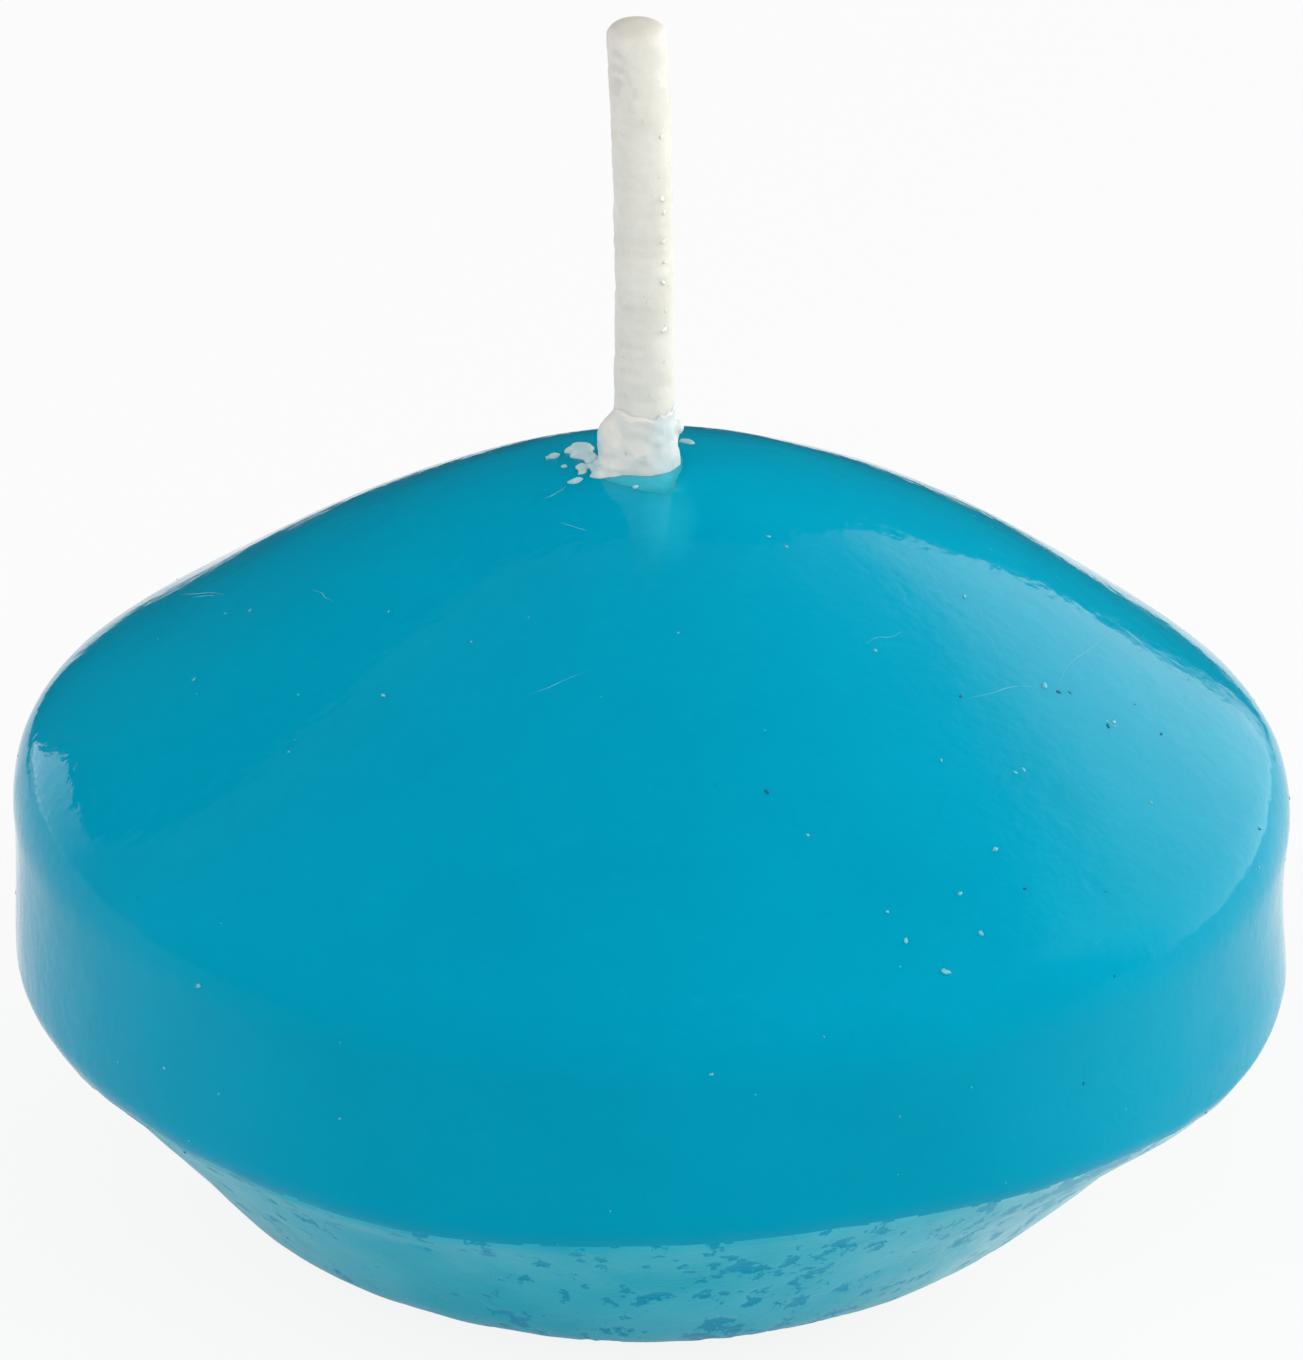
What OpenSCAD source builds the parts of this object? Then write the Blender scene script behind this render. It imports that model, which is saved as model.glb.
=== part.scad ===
// Floating candle: a domed wax body with a dished underside, a waxed cotton wick
// that leans a little, the white wax that seals the wick's foot, crumbs of that wax
// on the crown, and the pressed steel sustainer that holds the wick in the base.
// Millimetres, +Z up. The origin is the middle of the base the candle stands on.

/* [Wax body] */
// Greatest width of the candle, across the side band
body_d = 44.5; // [41:0.5:50]
// Height of the wax from the base to the crown
body_h = 27.9; // [26.5:0.1:30]
// Height of the edge where the dome meets the side band, before it is rounded
shoulder_z = 16.8; // [15:0.1:18]
// Height of the edge where the side band meets the underside, before it is rounded
lip_z = 9.5; // [8:0.1:11]
// Width of the flat that the candle stands on
base_d = 18.2; // [17:0.1:20]

/* [Wax curves] */
// Radius of the dome's crown, round the wick
crown_round = 18; // [14:0.5:20]
// Radius of the dome's flank, between the crown and the shoulder
flank_round = 59; // [50:1:80]
// Radius of the shoulder
shoulder_round = 3.5; // [1:0.1:4.5]
// Radius of the lip under the side band
lip_round = 1.8; // [0.5:0.1:2.5]
// Radius between the underside and the flat base
base_round = 9.2; // [6:0.1:10.5]

/* [Wick] */
// Width of the waxed wick
wick_d = 2.1; // [1.6:0.05:2.6]
// Length of wick that stands out of the crown
wick_out = 16.1; // [8:0.1:24]
// How far the wick stands to the left of the middle
wick_shift = 0.6; // [0:0.05:1]
// Length of the straight stretch above the crown, before the wick starts to lean
wick_straight = 2.3; // [2:0.1:5]
// Radius of the bend that makes the wick lean to the left
wick_bend_round = 180; // [60:5:400]
// Rounding of the wick's cut top
wick_top_round = 0.6; // [0.2:0.05:0.7]
// Gap between the wick and the hole through the wax
wick_gap = 0.05; // [0.02:0.01:0.2]

/* [Wick seal] */
// Height to which the white wax climbs the wick
seal_h = 2; // [1:0.1:2.2]
// Thickness of the seal round the wick at the crown
seal_wall = 0.4; // [0.25:0.05:0.8]
// Thickness of the seal where it ends on the wick
seal_edge = 0.1; // [0.06:0.02:0.2]
// Thickness of the wax that is smeared over the crown
smear_t = 0.12; // [0.08:0.02:0.3]
// Thickness of the flakes and crumbs
flake_t = 0.22; // [0.15:0.01:0.35]

/* [Sustainer] */
// Width of the steel disc
disc_d = 12; // [11:0.5:14]
// Thickness of the steel
steel_t = 0.3; // [0.2:0.05:0.4]
// Height of the neck above the disc
neck_h = 3; // [2:0.1:5]
// Rounding where the neck rises from the disc
neck_round = 0.5; // [0.35:0.05:0.8]
// Width of the stiffening bead pressed into the disc
bead_w = 1.4; // [1:0.1:2]
// Depth of the stiffening bead
bead_depth = 0.25; // [0.1:0.05:0.4]
// Radius of the bead's circle
bead_ring = 4.1; // [3.4:0.1:4.8]
// Number of crimp marks round the neck
crimps = 4; // [2:1:6]
// Height of the crimp marks above the disc
crimp_z = 1.8; // [1:0.1:2.6]
// Radius of the punch that leaves each crimp mark
crimp_round = 0.8; // [0.5:0.1:1.2]
// Depth of each crimp mark
crimp_depth = 0.15; // [0.05:0.05:0.2]
// Depth of the recess in the base that holds the disc
recess_depth = 0.9; // [0.7:0.05:1.5]
// Gap between the disc's rim and the recess
disc_gap = 0.15; // [0.05:0.05:0.4]
// Gap between the neck and its pocket in the wax
neck_gap = 0.06; // [0.03:0.01:0.2]

/* [Hidden] */
$fn = 96;
// Largest gap between an arc and the straight steps that stand for it
arc_gap = 0.01;
// Spare length of a cutting shape beyond the face that it cuts
cut = 1;
// How much slimmer the wick's rounded top is than the wick that it grows out of
top_step = 0.02;

body_r = body_d / 2;
base_r = base_d / 2;
wick_r = wick_d / 2;
disc_top = recess_depth;
disc_bottom = disc_top - steel_t;
neck_in_r = wick_r + wick_gap;
neck_out_r = neck_in_r + steel_t;
neck_top = disc_top + neck_h;
seal_r = wick_r + seal_wall;

// Points along an arc, from one angle to another, both ends included
function arc(centre, radius, from, to) =
    let (steps = max(2, ceil(abs(to - from) / (2 * acos(1 - arc_gap / radius)))))
    [for (i = [0 : steps])
        let (a = from + (to - from) * i / steps)
        centre + radius * [cos(a), sin(a)]];

// Angle of the line from one point to another
function heading(from, to) = atan2(to[1] - from[1], to[0] - from[0]);

// The dome's crown is an arc about a point on the axis. The flank is a flatter arc that
// leaves the crown without a kink and runs to the shoulder's edge, so its centre lies on
// the triangle between the crown's centre and that edge.
crown_c = [0, body_h - crown_round];
shoulder_edge = [body_r, shoulder_z];
edge_reach = norm(shoulder_edge - crown_c);
flank_offset = flank_round - crown_round;
flank_turn = acos((flank_offset^2 + edge_reach^2 - flank_round^2) / (2 * flank_offset * edge_reach));
flank_heading = heading(crown_c, shoulder_edge) - flank_turn;
flank_c = crown_c + flank_offset * [cos(flank_heading), sin(flank_heading)];

// The shoulder's round touches the flank from inside and the upright side band
shoulder_x = body_r - shoulder_round;
shoulder_c = [
    shoulder_x,
    flank_c[1] + sqrt((flank_round - shoulder_round)^2 - (shoulder_x - flank_c[0])^2)
];

// The underside is a straight line from the lip's edge that touches the base's round
base_c = [base_r, base_round];
lip_edge = [body_r, lip_z];
under_touch = heading(base_c, lip_edge) - acos(base_round / norm(lip_edge - base_c));

// The lip's round lies between the side band and the underside
lip_c = [body_r - lip_round, lip_z + lip_round * tan(-under_touch / 2)];

wax_outline = concat(
    [[0, 0]],
    arc(base_c, base_round, -90, under_touch),
    arc(lip_c, lip_round, under_touch, 0),
    arc(shoulder_c, shoulder_round, 0, heading(flank_c, shoulder_c)),
    arc(flank_c, flank_round, heading(flank_c, shoulder_c), heading(flank_c, crown_c)),
    arc(crown_c, crown_round, heading(flank_c, crown_c), 90)
);

// The whole outer form of the wax, before anything is cut into it
module wax_form() {
    rotate_extrude()
        polygon(wax_outline);
}

// A thin skin of wax lying on the dome, under the outline that is given
module skin_on_crown(thickness) {
    intersection() {
        translate([0, 0, shoulder_z])
            linear_extrude(body_h - shoulder_z + cut)
                children();
        difference() {
            translate([0, 0, thickness])
                wax_form();
            wax_form();
        }
    }
}

// A ragged flake's outline, of a given length and width about its middle
ragged = [
    [-0.5, -0.1], [-0.36, 0.34], [0.02, 0.5], [0.3, 0.36], [0.5, 0.04], [0.2, -0.3], [-0.12, -0.5]
];
module flake_outline(length, width, turn) {
    rotate(turn)
        polygon([for (p = ragged) [p[0] * length, p[1] * width]]);
}

// Wick

module at_wick() {
    translate([-wick_shift, 0, 0])
        children();
}

bend_start = body_h + wick_straight;
bend_length = wick_out - wick_straight - wick_top_round;
bend_angle = bend_length / wick_bend_round * 180 / PI;

// Carries its children from the bend's start to its end
module at_bend_end() {
    translate([-wick_bend_round, 0, bend_start])
        rotate([0, -bend_angle, 0])
            translate([wick_bend_round, 0, 0])
                children();
}

// The cut end, with its edge softened by the wax coat. It starts inside the bend, so that
// the two join.
module wick_top() {
    top_r = wick_r - top_step;
    rotate_extrude()
        polygon(concat(
            [[0, -wick_top_round], [top_r, -wick_top_round]],
            arc([top_r - wick_top_round, 0], wick_top_round, 0, 90),
            [[0, wick_top_round]]
        ));
}

module wick() {
    color("ivory")
        at_wick() {
            translate([0, 0, disc_bottom])
                cylinder(r = wick_r, h = bend_start - disc_bottom);
            translate([-wick_bend_round, 0, bend_start])
                rotate([90, 0, 0])
                    rotate_extrude(angle = bend_angle)
                        translate([wick_bend_round, 0])
                            circle(r = wick_r);
            at_bend_end()
                wick_top();
        }
}

// Wax body

module wax_body() {
    color("darkturquoise")
        difference() {
            wax_form();
            at_wick() {
                translate([0, 0, -cut])
                    cylinder(r = wick_r + wick_gap, h = body_h + 2 * cut);
                translate([0, 0, -cut])
                    cylinder(r = disc_d / 2 + disc_gap, h = recess_depth + cut);
                translate([0, 0, -cut])
                    cylinder(r = neck_out_r + neck_gap, h = neck_top + neck_gap + cut);
                // Room for the rounding at the foot of the neck
                translate([0, 0, disc_top - cut])
                    cylinder(r = neck_out_r + neck_round + neck_gap, h = neck_round + neck_gap + cut);
            }
        }
}

// Wick seal

// Rounded lumps of the seal: where each lies round the wick, in degrees from the right,
// how far from the wick's middle, how high above the crown, and its radius, the lengths
// as shares of the seal's own radius
seal_lumps = [
    [176, 0.36, 0.50, 0.76],
    [222, 0.42, 0.22, 0.74],
    [300, 0.46, 0.34, 0.62],
    [352, 0.72, 0.86, 0.20],
    [110, 0.40, 0.30, 0.66]
];

// Outlines about the wick of the wax that lies on the crown, as shares of the seal's radius.
// The foot of the seal spreads over the crown to the left.
foot_reach = [
    [-1.3, 0.1], [-1.23, -0.38], [-1.26, -0.66], [-1, -0.8], [-0.52, -0.84], [0.45, -0.66],
    [0.72, -0.2], [0.72, 0.4], [0, 0.8], [-0.7, 0.52], [-1.1, 0.22]
];
// A flake runs from the foot to the left and back
side_flake = [
    [-1.86, 1.2], [-1.74, 1.54], [-1.56, 1.66], [-1.28, 1.58], [-1.16, 1.34], [-1.12, 0.96],
    [-1, 0.54], [-0.96, 0.1], [-1.24, 0.02], [-1.42, 0.38], [-1.68, 0.8]
];
// A smaller and thinner flake beside the foot
thin_flake = [
    [-1.56, 0.38], [-1.36, 0.36], [-1.2, 0.1], [-1.16, -0.3], [-1.34, -0.44], [-1.46, -0.38], [-1.52, 0]
];
// Thin translucent wax smeared forwards and to the right
smear_reach = [
    [-0.97, -0.74], [-0.83, -0.98], [-0.52, -1.24], [-0.24, -1.36], [0, -1.6], [0.24, -1.74],
    [0.43, -2], [0.64, -1.9], [0.76, -1.52], [0.87, -1.16], [0.92, -0.4], [0.96, 0.2], [0.86, 0.82],
    [0.54, 0.76], [0, 0.4]
];

// A skin of wax on the crown, with one of the outlines above
module skin_round_wick(thickness, reach) {
    skin_on_crown(thickness)
        translate([-wick_shift, 0])
            scale(seal_r)
                polygon(reach);
}

module seal_solids() {
    translate([0, 0, body_h - cut])
        cylinder(r = seal_r, h = cut);
    translate([0, 0, body_h])
        cylinder(r1 = seal_r, r2 = wick_r + seal_edge, h = seal_h);
    for (lump = seal_lumps)
        rotate(lump[0])
            translate([lump[1] * seal_r, 0, body_h + lump[2] * seal_r])
                sphere(r = lump[3] * seal_r);
}

module wick_seal() {
    color("whitesmoke")
        difference() {
            union() {
                at_wick()
                    seal_solids();
                skin_round_wick(flake_t, foot_reach);
                skin_round_wick(flake_t, side_flake);
                skin_round_wick(smear_t, thin_flake);
                skin_round_wick(smear_t, smear_reach);
            }
            wax_form();
            at_wick()
                cylinder(r = wick_r, h = body_h + wick_out);
        }
}

// Crumbs of white wax on the crown

// Each crumb: how far to the right of the wick and behind it, its length, its width
// and its turn in degrees, the lengths as shares of the seal's radius
crumbs = [
    [-2.12, 1.02, 0.36, 0.3, 25],
    [-1.86, 0.2, 0.15, 0.18, 60],
    [-1.6, -0.76, 0.4, 0.22, 18],
    [1.03, 1.66, 0.34, 0.42, -20],
    [-0.46, -1.68, 0.14, 0.3, 8]
];

module wax_flakes() {
    color("whitesmoke")
        for (c = crumbs)
            skin_on_crown(flake_t)
                translate([c[0] * seal_r - wick_shift, c[1] * seal_r])
                    flake_outline(c[2] * seal_r, c[3] * seal_r, c[4]);
}

// Sustainer

// Half of the sustainer's section: the disc with its bead pressed down, and the neck
// that is drawn up from it in a round
module sustainer_section() {
    rim_r = disc_d / 2;
    bead_in = bead_ring - bead_w / 2;
    bead_out = bead_ring + bead_w / 2;
    // The bead's sides fall at 45 degrees
    floor_in = bead_in + bead_depth;
    floor_out = bead_out - bead_depth;
    polygon(concat(
        [
            [neck_in_r, disc_bottom],
            [bead_in, disc_bottom],
            [floor_in, disc_bottom - bead_depth],
            [floor_out, disc_bottom - bead_depth],
            [bead_out, disc_bottom],
            [rim_r, disc_bottom],
            [rim_r, disc_top],
            [bead_out, disc_top],
            [floor_out, disc_top - bead_depth],
            [floor_in, disc_top - bead_depth],
            [bead_in, disc_top]
        ],
        arc([neck_out_r + neck_round, disc_top + neck_round], neck_round, 270, 180),
        [[neck_out_r, neck_top], [neck_in_r, neck_top]]
    ));
}

module wick_sustainer() {
    color("silver")
        at_wick()
            difference() {
                rotate_extrude()
                    sustainer_section();
                for (i = [0 : crimps - 1])
                    rotate(i * 360 / crimps)
                        translate([neck_out_r + crimp_round - crimp_depth, 0, disc_top + crimp_z])
                            sphere(r = crimp_round);
            }
}

wax_body();
wick();
wick_seal();
wax_flakes();
wick_sustainer();
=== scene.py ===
import itertools
import math

import bpy
import numpy as np
from mathutils import Matrix

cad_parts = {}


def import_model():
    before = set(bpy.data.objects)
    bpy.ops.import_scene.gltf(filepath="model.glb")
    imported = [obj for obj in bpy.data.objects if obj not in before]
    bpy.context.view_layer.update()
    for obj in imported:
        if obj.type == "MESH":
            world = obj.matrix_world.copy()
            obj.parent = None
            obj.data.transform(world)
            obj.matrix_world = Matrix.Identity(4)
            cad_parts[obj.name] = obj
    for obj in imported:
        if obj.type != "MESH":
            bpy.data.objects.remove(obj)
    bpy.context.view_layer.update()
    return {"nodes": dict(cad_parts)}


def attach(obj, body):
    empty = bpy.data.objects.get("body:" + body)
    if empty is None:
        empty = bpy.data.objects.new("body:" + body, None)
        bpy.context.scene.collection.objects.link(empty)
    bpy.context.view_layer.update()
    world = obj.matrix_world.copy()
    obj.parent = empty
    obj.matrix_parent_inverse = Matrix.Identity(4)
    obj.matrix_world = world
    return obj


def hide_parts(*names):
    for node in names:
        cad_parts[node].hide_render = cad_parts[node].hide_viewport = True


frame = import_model()

MM = 0.001

# Sizes that the part's source gives
BODY_R = 22.25
BODY_H = 27.9
SHOULDER_Z = 16.8
LIP_Z = 9.5
BASE_R = 9.1
CROWN_ROUND, FLANK_ROUND, SHOULDER_ROUND, LIP_ROUND, BASE_ROUND = 18.0, 59.0, 3.5, 1.8, 9.2
WICK_R = 1.05
WICK_X = -0.6
WICK_STRAIGHT = 2.3
WICK_OUT = 16.1
WICK_BEND_ROUND = 180.0
WICK_TOP_ROUND = 0.6
WICK_BOTTOM = 0.6
BORE_R = 1.1
RECESS_R, RECESS_TOP = 6.15, 0.9
NECK_FOOT_R, NECK_FOOT_TOP = 1.96, 1.46
POCKET_R, POCKET_TOP = 1.46, 3.96

# The wax and the marks on it reach no further from the axis than this
WIDEST_R = BODY_R - 0.01


# Noise and blending

# Factors that scramble a place and a seed into a number that looks random
PLACE_FACTORS = (73856093, 19349663, 83492791)
SEED_FACTOR, FIRST_FACTOR, SECOND_FACTOR, LOW_BITS = 7919, 1274126177, 73244475, 0xFFFFFFFF


def smooth(x, low, high):
    """0 below low, 1 above high, and an even S between them."""
    t = np.clip((x - low) / (high - low), 0, 1)
    return t * t * (3 - 2 * t)


def noise(points, seed):
    """Smooth noise from -1 to 1, with one lattice cell to the unit."""
    cell = np.floor(points).astype(np.int64)
    f = points - cell
    u = f * f * f * (f * (f * 6 - 15) + 10)
    total = np.zeros(points.shape[:-1])
    for corner in itertools.product((0, 1), repeat=3):
        c = cell + np.array(corner)
        x, y, z = (c[..., axis] * factor for axis, factor in enumerate(PLACE_FACTORS))
        h = x ^ y ^ z ^ (seed * SEED_FACTOR)
        h = ((h ^ (h >> 13)) * FIRST_FACTOR) & LOW_BITS
        h = ((h ^ (h >> 16)) * SECOND_FACTOR) & LOW_BITS
        h ^= h >> 15
        weight = np.prod(np.where(corner, u, 1 - u), axis=-1)
        total += weight * (h / 2**31 - 1)
    return total


def ripple(points, size, seed, octaves=2):
    """Noise whose lumps are about size across, each finer octave half as strong."""
    total, strength = 0, 1
    for octave in range(octaves):
        total = total + strength * noise(points / size * 2**octave, seed + octave)
        strength /= 2
    return total


# The wax outline, from the same tangent arcs as the part's source

def heading(a, b):
    return math.atan2(b[1] - a[1], b[0] - a[0])


def outline_points():
    """The centres of the outline's arcs, and the angle at which the underside leaves them."""
    crown = np.array([0, BODY_H - CROWN_ROUND])
    shoulder_edge = np.array([BODY_R, SHOULDER_Z])
    reach = np.linalg.norm(shoulder_edge - crown)
    offset = FLANK_ROUND - CROWN_ROUND
    turn = math.acos((offset**2 + reach**2 - FLANK_ROUND**2) / (2 * offset * reach))
    away = heading(crown, shoulder_edge) - turn
    flank = crown + offset * np.array([math.cos(away), math.sin(away)])
    x = BODY_R - SHOULDER_ROUND
    rise = math.sqrt((FLANK_ROUND - SHOULDER_ROUND) ** 2 - (x - flank[0]) ** 2)
    shoulder = np.array([x, flank[1] + rise])
    base = np.array([BASE_R, BASE_ROUND])
    lip_edge = np.array([BODY_R, LIP_Z])
    under = heading(base, lip_edge) - math.acos(BASE_ROUND / np.linalg.norm(lip_edge - base))
    lip = np.array([BODY_R - LIP_ROUND, LIP_Z + LIP_ROUND * math.tan(-under / 2)])
    return crown, flank, shoulder, lip, base, under


CROWN_C, FLANK_C, SHOULDER_C, LIP_C, BASE_C, UNDER = outline_points()


def arc_rows(centre, radius, start, end, count):
    """Rows of radius, height and the outward normal along an arc, without its last point."""
    a = np.linspace(start, end, count, endpoint=False)
    return np.stack([centre[0] + radius * np.cos(a), centre[1] + radius * np.sin(a),
                     np.cos(a), np.sin(a)], axis=1)


def straight_rows(start, end, normal, count):
    t = np.linspace(0, 1, count, endpoint=False)[:, None]
    points = np.array(start) + (np.array(end) - np.array(start)) * t
    return np.hstack([points, np.tile(normal, (count, 1))])


def dome_z(x, y):
    """Height of the crown, for places up to 7 mm from the axis."""
    return CROWN_C[1] + np.sqrt(np.maximum(CROWN_ROUND**2 - x * x - y * y, 0))


def flank_turn():
    return heading(FLANK_C, SHOULDER_C), heading(FLANK_C, CROWN_C)


# Mesh making

# A loose bit of fewer faces than this is left out
LEAST_FACES = 100


def mesh_object(name, points, faces, sharp_angle=None):
    """An object from points in millimetres, shaded smooth."""
    mesh = bpy.data.meshes.new(name)
    mesh.from_pydata((np.asarray(points) * MM).tolist(), [], faces)
    mesh.validate()
    mesh.shade_smooth()
    if sharp_angle:
        mesh.set_sharp_from_angle(angle=math.radians(sharp_angle))
    made = bpy.data.objects.new(name, mesh)
    bpy.context.scene.collection.objects.link(made)
    return made


def write_values(made, name, values):
    """An attribute of the mesh with one value for each point, which a material reads."""
    made.data.attributes.new(name, "FLOAT", "POINT").data.foreach_set("value", values.ravel())


def ring_faces(rings, around, closed):
    """Quads between rings of points, and from the last ring to the first if it is closed."""
    faces = []
    for i in range(rings if closed else rings - 1):
        a, b = i * around, (i + 1) % rings * around
        faces += [(a + j, b + j, b + (j + 1) % around, a + (j + 1) % around) for j in range(around)]
    return faces


def surface_net(field, low, step):
    """Points and quads where a sampled field crosses zero. It is negative inside."""
    inside = field < 0
    nx, ny, nz = (n - 1 for n in field.shape)

    def corner(values, c):
        return values[c[0]:nx + c[0], c[1]:ny + c[1], c[2]:nz + c[2]]

    corners = list(itertools.product((0, 1), repeat=3))
    total, crossings = np.zeros((nx, ny, nz, 3)), np.zeros((nx, ny, nz))
    for a, b in itertools.combinations(corners, 2):
        if sum(abs(p - q) for p, q in zip(a, b)) != 1:
            continue
        fa, fb = corner(field, a), corner(field, b)
        crossed = corner(inside, a) != corner(inside, b)
        t = np.where(crossed, fa / np.where(crossed, fa - fb, 1), 0)
        for axis in range(3):
            total[..., axis] += np.where(crossed, a[axis] + t * (b[axis] - a[axis]), 0)
        crossings += crossed
    cells = np.argwhere(crossings > 0)
    index = np.full((nx, ny, nz), -1)
    index[tuple(cells.T)] = np.arange(len(cells))
    points = low + step * (cells + total[tuple(cells.T)] / crossings[tuple(cells.T)][:, None])
    faces = []
    for axis in range(3):
        u, v = (axis + 1) % 3, (axis + 2) % 3
        ahead = np.roll(inside, -1, axis)
        hit = inside != ahead
        hit[tuple(slice(-1, None) if k == axis else slice(None) for k in range(3))] = False
        at = np.argwhere(hit)
        last_u, last_v = field.shape[u] - 1, field.shape[v] - 1
        at = at[(at[:, u] > 0) & (at[:, v] > 0) & (at[:, u] < last_u) & (at[:, v] < last_v)]
        du, dv = np.eye(3, dtype=int)[u], np.eye(3, dtype=int)[v]
        in_turn = ((1, 1), (0, 1), (0, 0), (1, 0))
        quad = np.stack([index[tuple((at - a * du - b * dv).T)] for a, b in in_turn], 1)
        out = inside[tuple(at.T)]
        faces.append(np.where(out[:, None], quad, quad[:, ::-1]))
    return points, np.vstack(faces).tolist()


def without_strays(points, faces):
    """The mesh without its loose bits of a few faces."""
    faces = np.array(faces)
    label = np.arange(len(points))
    while True:
        joined_to = label.copy()
        np.minimum.at(joined_to, faces, label[faces].min(axis=1, keepdims=True))
        joined_to = joined_to[joined_to]
        if (joined_to == label).all():
            break
        label = joined_to
    part = label[faces[:, 0]]
    faces = faces[np.bincount(part)[part] >= LEAST_FACES]
    used, faces = np.unique(faces, return_inverse=True)
    return points[used], faces.reshape(-1, 4).tolist()


def sampled(low, high, step):
    """The grid of places from low to high, as an array of x, y and z."""
    axes = [np.arange(a, b, step) for a, b in zip(low, high)]
    return np.stack(np.meshgrid(*axes, indexing="ij"), axis=-1)


def plan_distance(x, y, outline):
    """Signed distance in plan to a closed outline, negative inside it."""
    near, odd = np.full(x.shape, 1e9), np.zeros(x.shape, bool)
    for (ax, ay), (bx, by) in zip(outline, outline[1:] + outline[:1]):
        ex, ey = bx - ax, by - ay
        t = np.clip(((x - ax) * ex + (y - ay) * ey) / (ex * ex + ey * ey), 0, 1)
        near = np.minimum(near, np.hypot(x - ax - t * ex, y - ay - t * ey))
        spans = (ay > y) != (by > y)
        odd ^= spans & (x < ax + (y - ay) * ex / (ey if ey else 1e-9))
    return np.where(odd, -near, near)


def joined(a, b, width):
    """Union of two fields with a fillet of about the width given."""
    h = np.clip(0.5 + 0.5 * (b - a) / width, 0, 1)
    return b + (a - b) * h - width * h * (1 - h)


# Wax body

# Points round each ring, and rows of points along each part of the outline
AROUND = 480
CROWN_ROWS, FLANK_ROWS, SHOULDER_ROWS, SIDE_ROWS, LIP_ROWS, UNDER_ROWS, BASE_ROWS = 16, 34, 12, 18, 14, 64, 30
# Softened edge of the recess in the base
RECESS_EDGE = 0.12
# How far the moulded surface lies under the source's outline, on average
SUNK = 0.045
# Height and size of the broad and the fine ripples of the surface
BROAD_RIPPLE, FINE_RIPPLE = (0.05, 11), (0.014, 2.4)
# The unrolled surface: the radius at which it is unrolled, and how much its rows are drawn together
DRAWN_R, DRAWN_ALONG = 16, 0.55
# Height and size of the waves in the edge of the matt wax, and the lengths over which it starts
LIP_WAVER, UNDER_START = (0.10, 0.9), (-0.12, 0.16)
# The rings are centred on the axis from the first radius on, and lie on the crown's arc up to the second
CENTRED_R, CROWN_R = 6.0, 6.5
# Lengths over which the unevenness begins at the bore, and ends before the base's flat
BORE_CALM, FLAT_CALM = (0.3, 2.0), (1.2, 0.2)
# Height and size of the lip's small waves, and how far up and down all its waves reach
LIP_RIPPLE, LIP_WAVE_REACH = (0.05, 3.0), 2.2
# Blots: size of each and of the clusters, and depth and start of the pits that they lie in
BLOT_SIZE, CLUSTER_SIZE, PIT_DEPTH, PIT_START = 0.55, 3.4, 0.03, (0.35, 0.60)
# Unevenness of the moulded wax: degrees round from the right and degrees wide, height of the
# patch and half its height, and how far the surface stands out
UNEVEN = [
    (205, 45, 1.5, 2.2, 0.25),
    (205, 45, 8.0, 1.8, -0.15),
    (183, 35, 18.2, 1.8, 0.40),
    (180, 35, 13.5, 3.0, -0.10),
    (335, 45, 2.0, 2.2, -0.35),
    (335, 45, 6.2, 2.0, -0.30),
    (335, 30, 9.5, 1.8, 0.15),
    (0, 35, 13.5, 3.0, -0.25),
    (5, 35, 18.2, 1.8, 0.20),
    (40, 40, 24.0, 3.0, 0.15),
    (95, 30, 19.0, 2.5, -0.20),
    (60, 40, 6.0, 3.0, 0.20),
]
# Where the lip runs lower or higher: degrees round, degrees wide, and the height
LIP_WAVES = [(232, 14, -0.25), (252, 14, -0.40), (292, 14, 0.20), (312, 14, 0.10), (60, 25, 0.20),
             (130, 20, -0.25)]
# Painted sheen: where the underside is painted paler, standing for the sheen at its ends: degrees round,
# degrees wide, and the share of the paler colour
PAINTED_SHEEN_PLACES = [(330, 26, 1.0), (214, 16, 0.30), (95, 30, 0.40)]


def degrees_apart(a, b):
    return (a - b + 180) % 360 - 180


def wax_rows():
    """Rows of the wax from the bore at the crown to the edge of the base's flat."""
    low, high = flank_turn()
    start = math.pi / 2 - math.asin(BORE_R / CROWN_ROUND)
    lip_end = LIP_C + LIP_ROUND * np.array([math.cos(UNDER), math.sin(UNDER)])
    base_start = BASE_C + BASE_ROUND * np.array([math.cos(UNDER), math.sin(UNDER)])
    side = [1, 0]
    slope = [math.cos(UNDER), math.sin(UNDER)]
    parts = [
        arc_rows(CROWN_C, CROWN_ROUND, start, high, CROWN_ROWS),
        arc_rows(FLANK_C, FLANK_ROUND, high, low, FLANK_ROWS),
        arc_rows(SHOULDER_C, SHOULDER_ROUND, low, 0, SHOULDER_ROWS),
        straight_rows([BODY_R, SHOULDER_C[1]], [BODY_R, LIP_C[1]], side, SIDE_ROWS),
        arc_rows(LIP_C, LIP_ROUND, 0, UNDER, LIP_ROWS),
        straight_rows(lip_end, base_start, slope, UNDER_ROWS),
        arc_rows(BASE_C, BASE_ROUND, UNDER, -math.pi / 2, BASE_ROWS),
    ]
    return np.vstack(parts)


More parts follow.
